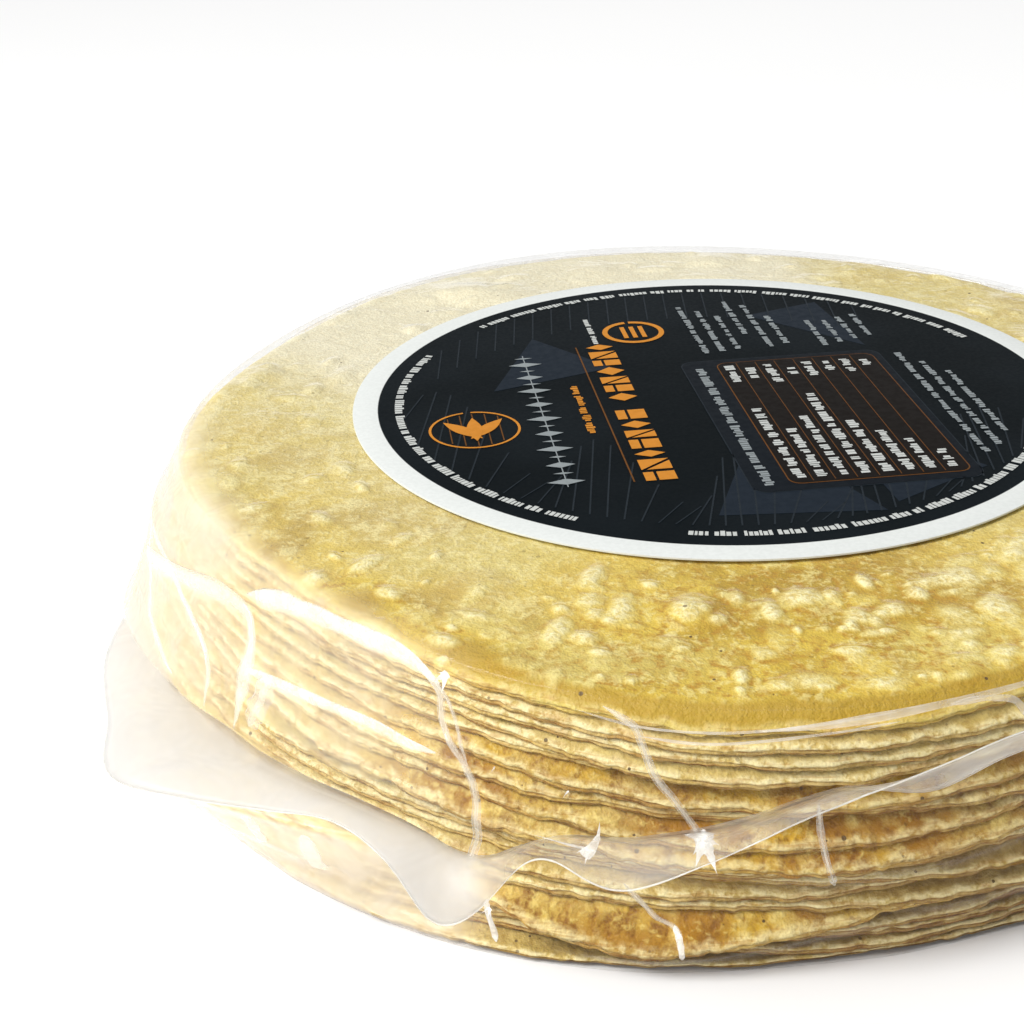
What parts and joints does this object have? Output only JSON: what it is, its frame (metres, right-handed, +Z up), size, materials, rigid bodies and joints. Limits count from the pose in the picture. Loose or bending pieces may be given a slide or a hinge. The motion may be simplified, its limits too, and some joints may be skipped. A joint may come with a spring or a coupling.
{
  "type": "corn tortilla stack",
  "caption": "Round stack of thin corn tortillas with uneven toasted rims, sealed in clear film with a wavy film skirt and a round printed label on top.",
  "frame": {"origin": "on the flat underside of the lowest tortilla, below the middle of the stack", "axes": "+Z up through the stack, -Y towards the side that is shown in front, +X to the right of that side"},
  "size_m": [0.16, 0.164, 0.0317],
  "materials": {
    "toasted_corn": "mottled, blistered",
    "pale_corn": "grainy, toasted in places",
    "label_print": "satin print with a white rim",
    "clear_film": "glossy, clear"
  },
  "bodies": {
    "root": {"tortilla_01": "pale_corn", "tortilla_02": "pale_corn", "tortilla_03": "pale_corn", "tortilla_04": "pale_corn", "tortilla_05": "pale_corn", "tortilla_06": "pale_corn", "tortilla_07": "pale_corn", "tortilla_08": "pale_corn", "tortilla_09": "pale_corn", "tortilla_10": "pale_corn", "tortilla_11": "pale_corn", "tortilla_12": "pale_corn", "tortilla_13": "pale_corn", "tortilla_14": "pale_corn", "tortilla_15": "pale_corn", "tortilla_16": "pale_corn", "tortilla_17": "pale_corn", "tortilla_18": "pale_corn", "tortilla_19": "pale_corn", "tortilla_20": "toasted_corn", "label": "label_print", "film_skirt": "clear_film"}
  },
  "joints": []
}
